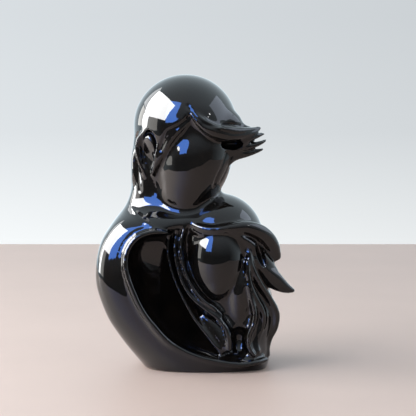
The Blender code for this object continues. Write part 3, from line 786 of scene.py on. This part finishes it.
class FIGURE_OT_glaze(bpy.types.Operator):
    """Glaze the figure black and leave its foot as bare clay"""

    bl_idname = "figure.glaze"
    bl_label = "Glaze the figure"

    def execute(self, context):
        colours = context.scene.figure_colours
        material = bpy.data.materials.new("black gloss glaze")
        material.use_nodes = True
        nodes, links = material.node_tree.nodes, material.node_tree.links
        shader = nodes["Principled BSDF"]
        place = nodes.new("ShaderNodeTexCoord").outputs["Object"]
        height = nodes.new("ShaderNodeSeparateXYZ")
        links.new(place, height.inputs["Vector"])
        bare = spread(nodes, links, height.outputs["Z"],
                      GLAZE_LINE[0] * MM, GLAZE_LINE[1] * MM, 1, 0)
        runs = spread(nodes, links, noise(nodes, links, place, RUNS_SCALE), 0.35, 0.7, 0, 1)
        glaze = blended(nodes, links, runs, colours.glaze, colours.thin_glaze)
        grit = spread(nodes, links, noise(nodes, links, place, GRIT_SCALE, 4), 0.3, 0.7, 0, 1)
        clay = blended(nodes, links, grit, colours.clay, [c * 0.8 for c in colours.clay])
        links.new(blended(nodes, links, bare, glaze, clay), shader.inputs["Base Color"])
        smear = spread(nodes, links, noise(nodes, links, place, SMEAR_SCALE, 3), 0.3, 0.75,
                       *GLAZE_ROUGHNESS)
        rough = nodes.new("ShaderNodeMath")
        rough.operation = "MULTIPLY_ADD"
        links.new(bare, rough.inputs[0])
        rough.inputs[1].default_value = CLAY_ROUGHNESS
        links.new(smear, rough.inputs[2])
        links.new(rough.outputs[0], shader.inputs["Roughness"])
        shader.inputs["IOR"].default_value = GLAZE_IOR
        peel = nodes.new("ShaderNodeBump")
        peel.inputs["Strength"].default_value = PEEL_STRENGTH
        peel.inputs["Distance"].default_value = PEEL_DEPTH * MM
        links.new(noise(nodes, links, place, PEEL_SCALE, 1), peel.inputs["Height"])
        links.new(peel.outputs["Normal"], shader.inputs["Normal"])
        bpy.data.objects["figure"].data.materials.append(material)
        return {"FINISHED"}


def lamp(name, turn, rise, size, glow, fills):
    """A soft rectangular lamp aimed at the figure, which either lights it or shows in its glaze."""
    light = bpy.data.lights.new(name, "AREA")
    light.shape = "RECTANGLE"
    light.size, light.size_y = size
    light.energy = math.pi * size[0] * size[1]
    light.color = glow
    piece = bpy.data.objects.new(name, light)
    away = Matrix.Rotation(math.radians(-turn), 3, "Z") @ Matrix.Rotation(math.radians(rise), 3, "X")
    away = away @ Vector((0, 1, 0))
    piece.location = away * LAMP_REACH + Vector(LAMP_AIM)
    piece.rotation_euler = (-away).to_track_quat("-Z", "Y").to_euler()
    piece.visible_camera = False
    piece.visible_diffuse = fills
    piece.visible_glossy = not fills
    bpy.context.scene.collection.objects.link(piece)


def lay_floor(colour):
    """The plain pale floor, with its front edge askew."""
    plane = bmesh.new()
    bmesh.ops.create_grid(plane, x_segments=1, y_segments=1, size=1)
    bmesh.ops.scale(plane, verts=plane.verts[:], vec=(FLOOR_HALF_WIDTH, FLOOR_BACK, 1))
    for vert in plane.verts:
        if vert.co.y < 0:
            vert.co.y = FLOOR_FRONT - FLOOR_SKEW * vert.co.x
    floor = as_object("floor", plane)
    material = bpy.data.materials.new("plain floor")
    material.use_nodes = True
    nodes, links = material.node_tree.nodes, material.node_tree.links
    shader = nodes["Principled BSDF"]
    place = nodes.new("ShaderNodeTexCoord").outputs["Object"]
    faint = spread(nodes, links, noise(nodes, links, place, FLOOR_MOTTLE_SCALE, 3), 0.3, 0.7, 0, 1)
    tone = blended(nodes, links, faint, colour, [c * 0.96 for c in colour])
    links.new(tone, shader.inputs["Base Color"])
    shader.inputs["Roughness"].default_value = FLOOR_ROUGHNESS
    floor.data.materials.append(material)


def wall_colour(nodes, links, split, colours):
    """The pale wall as it is seen, with painted light and shade: lighter just above the floor and a
    little darker to the right.
    """
    rise = nodes.new("ShaderNodeValToRGB")
    # Painted light: the wall fades from the paler low colour just above the floor to the wall colour
    # higher up
    links.new(spread(nodes, links, split.outputs["Z"], *WALL_FADE, 0, 1), rise.inputs["Fac"])
    ramp = rise.color_ramp.elements
    ramp[0].color = (*colours.wall_low_painted_light, 1)
    ramp[1].color = (*colours.wall, 1)
    middle = [(1 - WALL_HALFWAY_SHARE) * high + WALL_HALFWAY_SHARE * low
              for high, low in zip(colours.wall, colours.wall_low_painted_light)]
    halfway = ramp.new(0.5)
    halfway.color = (*middle, 1)
    # Painted shade: the wall is darkened a little towards the right
    across = spread(nodes, links, split.outputs["X"], *WALL_ACROSS, 1, WALL_RIGHT_SHADE)
    return blended(nodes, links, across, (0, 0, 0), rise.outputs["Color"])


def room_colour(nodes, links, split):
    """The room as the glaze mirrors it: paler above, and brightest at the back."""
    height = spread(nodes, links, split.outputs["Z"], *ROOM_RISE, 0, 1)
    front = blended(nodes, links, height, ROOM_LOW, ROOM_HIGH)
    depth = spread(nodes, links, split.outputs["Y"], *ROOM_DEPTH, 0, 1)
    return blended(nodes, links, depth, front, ROOM_BEHIND)


def hang_backdrop(scene, colours):
    """The world: a pale wall for the camera, the room for the glaze and soft light for the rest."""
    world = bpy.data.worlds.new("room")
    scene.world = world
    world.use_nodes = True
    nodes, links = world.node_tree.nodes, world.node_tree.links
    split = nodes.new("ShaderNodeSeparateXYZ")
    links.new(nodes.new("ShaderNodeTexCoord").outputs["Generated"], split.inputs["Vector"])
    path = nodes.new("ShaderNodeLightPath")
    seen = nodes.new("ShaderNodeMath")
    seen.operation = "ADD"
    seen.use_clamp = True
    links.new(path.outputs["Is Camera Ray"], seen.inputs[0])
    links.new(path.outputs["Is Transmission Ray"], seen.inputs[1])
    wall = wall_colour(nodes, links, split, colours)
    shown = blended(nodes, links, seen.outputs[0], colours.fill, wall)
    room = room_colour(nodes, links, split)
    links.new(blended(nodes, links, path.outputs["Is Glossy Ray"], shown, room),
              nodes["Background"].inputs["Color"])


def stand_camera(scene, shift):
    """The camera, where the photograph was taken from."""
    camera = bpy.data.cameras.new("camera")
    camera.sensor_width = SENSOR_MM
    camera.lens = SENSOR_MM * LENS_PIXELS / FRAME_PIXELS
    eye = bpy.data.objects.new("camera", camera)
    scene.collection.objects.link(eye)
    eye.location = Vector(CAMERA_AT) * MM + shift
    aim = Vector(CAMERA_AIM) * MM + shift
    eye.rotation_euler = (aim - eye.location).to_track_quat("-Z", "Y").to_euler()
    scene.camera = eye


class FIGURE_OT_stage(bpy.types.Operator):
    """Set the floor, the backdrop, the lamps and the camera"""

    bl_idname = "figure.stage"
    bl_label = "Set the stage"

    def execute(self, context):
        scene = context.scene
        colours = scene.figure_colours
        lay_floor(colours.floor)
        hang_backdrop(scene, colours)
        for row in LAMPS:
            lamp(*row)
        stand_camera(scene, Vector(scene["figure_shift"]))
        scene.view_settings.view_transform = "Standard"
        return {"FINISHED"}


STEPS = (FIGURE_OT_parent, FIGURE_OT_child, FIGURE_OT_hair, FIGURE_OT_foot, FIGURE_OT_glaze,
         FIGURE_OT_stage)


class FIGURE_PT_panel(bpy.types.Panel):
    """Sizes, colours and steps of the figure"""

    bl_idname = "FIGURE_PT_panel"
    bl_label = "Figure"
    bl_space_type = "VIEW_3D"
    bl_region_type = "UI"
    bl_category = "Figure"

    def draw(self, context):
        for group in (context.scene.figure_sizes, context.scene.figure_colours):
            for name in type(group).__annotations__:
                self.layout.prop(group, name)
        for step in STEPS:
            self.layout.operator(step.bl_idname)


CLASSES = (FigureSizes, FigureColours, *STEPS, FIGURE_PT_panel)


def register():
    for cls in CLASSES:
        bpy.utils.register_class(cls)
    bpy.types.Scene.figure_sizes = bpy.props.PointerProperty(type=FigureSizes)
    bpy.types.Scene.figure_colours = bpy.props.PointerProperty(type=FigureColours)


def unregister():
    del bpy.types.Scene.figure_colours
    del bpy.types.Scene.figure_sizes
    for cls in reversed(CLASSES):
        bpy.utils.unregister_class(cls)


def main():
    """Register the steps and run them in order."""
    register()
    bpy.ops.figure.parent()
    bpy.ops.figure.child()
    bpy.ops.figure.hair()
    bpy.ops.figure.foot()
    bpy.ops.figure.glaze()
    bpy.ops.figure.stage()


if __name__ == "__main__":
    main()
